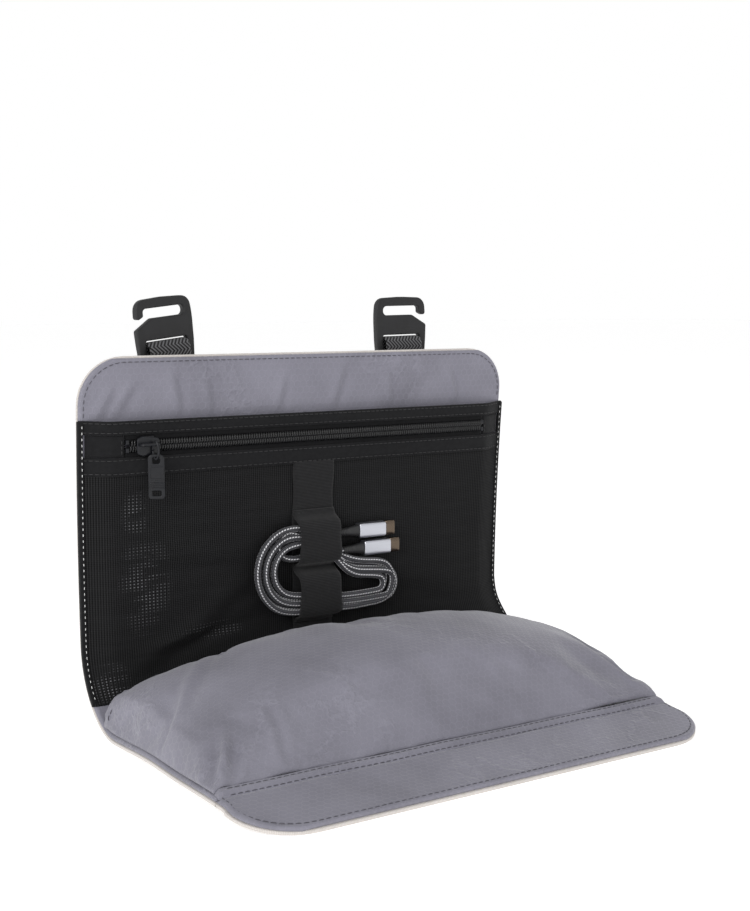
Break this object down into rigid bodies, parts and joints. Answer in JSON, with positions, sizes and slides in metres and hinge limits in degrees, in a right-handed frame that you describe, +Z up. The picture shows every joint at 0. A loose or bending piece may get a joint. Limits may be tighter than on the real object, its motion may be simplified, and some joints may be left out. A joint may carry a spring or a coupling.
{
  "type": "headphone carrying case",
  "caption": "Soft folding headphone case with a padded pouch, a zipped mesh pocket, an elastic cable strap and two strap hooks, stood open.",
  "frame": {"origin": "on the floor, in the middle of the case's width and depth, measured without the charging cable", "axes": "+X to the right along the fold, +Y to the rear, +Z up"},
  "size_m": [0.26, 0.201, 0.2162],
  "materials": {
    "shell": "tightly woven nylon, matt",
    "foam": "closed-cell foam sheet",
    "lining": "ripstop nylon with a fine hexagon pattern",
    "mesh": "knitted mesh",
    "grosgrain": "ribbed tape",
    "elastic": "woven elastic",
    "webbing": "herringbone webbing",
    "zip_coil": "nylon coil, slightly glossy",
    "zip_metal": "black painted, satin",
    "hook_metal": "dark grey, hard anodised, fine matt",
    "magnet": "nickel plated",
    "cable_sleeve": "braided sleeve, grey and white",
    "boot_rubber": "matt black",
    "plug_shell": "fine blasted, anodised",
    "plug_tip": "stamped shell"
  },
  "bodies": {
    "base": {"base_shell": "shell", "base_foam": "foam", "base_lining": "lining", "fold_shell": "shell", "fold_foam": "foam", "fold_lining": "lining", "headphone_pouch": "lining", "pouch_hem": "lining", "front_seam": "lining"},
    "flap": {"flap_shell": "shell", "flap_foam": "foam", "flap_lining": "lining", "flap_magnets": "magnet"},
    "back": {"back_shell": "shell", "back_foam": "foam", "back_lining": "lining", "back_magnets": "magnet", "upper_facing": "grosgrain", "lower_facing": "grosgrain", "zip_tape_upper": "grosgrain", "zip_tape_lower": "grosgrain", "zip_coil_upper": "zip_coil", "zip_coil_lower": "zip_coil", "zip_stops": "zip_metal", "zip_end_tab_left": "grosgrain", "zip_end_tab_right": "grosgrain", "mesh_pocket": "mesh", "mesh_binding_left": "grosgrain", "mesh_binding_right": "grosgrain", "organizer_strap": "elastic", "cable_loop_upper": "elastic", "cable_loop_lower": "elastic", "webbing_loop_left": "webbing", "webbing_loop_right": "webbing", "cable_coil": "cable_sleeve", "cable_boot_upper": "boot_rubber", "cable_boot_lower": "boot_rubber", "cable_plug_upper": "plug_shell", "cable_plug_lower": "plug_shell", "cable_tip_upper": "plug_tip", "cable_tip_lower": "plug_tip"},
    "zip_slider": {"zip_slider": "zip_metal"},
    "zip_pull": {"zip_pull_ring": "zip_metal", "zip_puller": "zip_metal"},
    "hook_left": {"hook_left": "hook_metal"},
    "hook_right": {"hook_right": "hook_metal"}
  },
  "joints": [
    {"name": "flap_fold", "type": "hinge", "parent": "base", "child": "flap", "pos_m": [0, -0.0627, 0.0087], "axis": [-1, 0, 0], "range_deg": [0, 52]},
    {"name": "back_fold", "type": "hinge", "parent": "base", "child": "back", "pos_m": [0, 0.0655, 0.024], "axis": [1, 0, 0], "range_deg": [-85, 80], "deforming": ["headphone_pouch", "pouch_hem", "fold_shell", "fold_foam", "fold_lining"]},
    {"name": "zip_slide", "type": "slide", "parent": "back", "child": "zip_slider", "axis": [1, 0, 0], "range_m": [0, 0.2]},
    {"name": "pull_swing", "type": "hinge", "parent": "zip_slider", "child": "zip_pull", "pos_m": [-0.0945, 0.06997, 0.14303], "axis": [-1, 0, 0], "range_deg": [-5, 105]},
    {"name": "hook_left_swing", "type": "hinge", "parent": "back", "child": "hook_left", "pos_m": [-0.0755, 0.0955, 0.18175], "axis": [-1, 0, 0], "range_deg": [-40, 130]},
    {"name": "hook_right_swing", "type": "hinge", "parent": "back", "child": "hook_right", "pos_m": [0.0685, 0.0955, 0.18175], "axis": [-1, 0, 0], "range_deg": [-40, 130]}
  ]
}
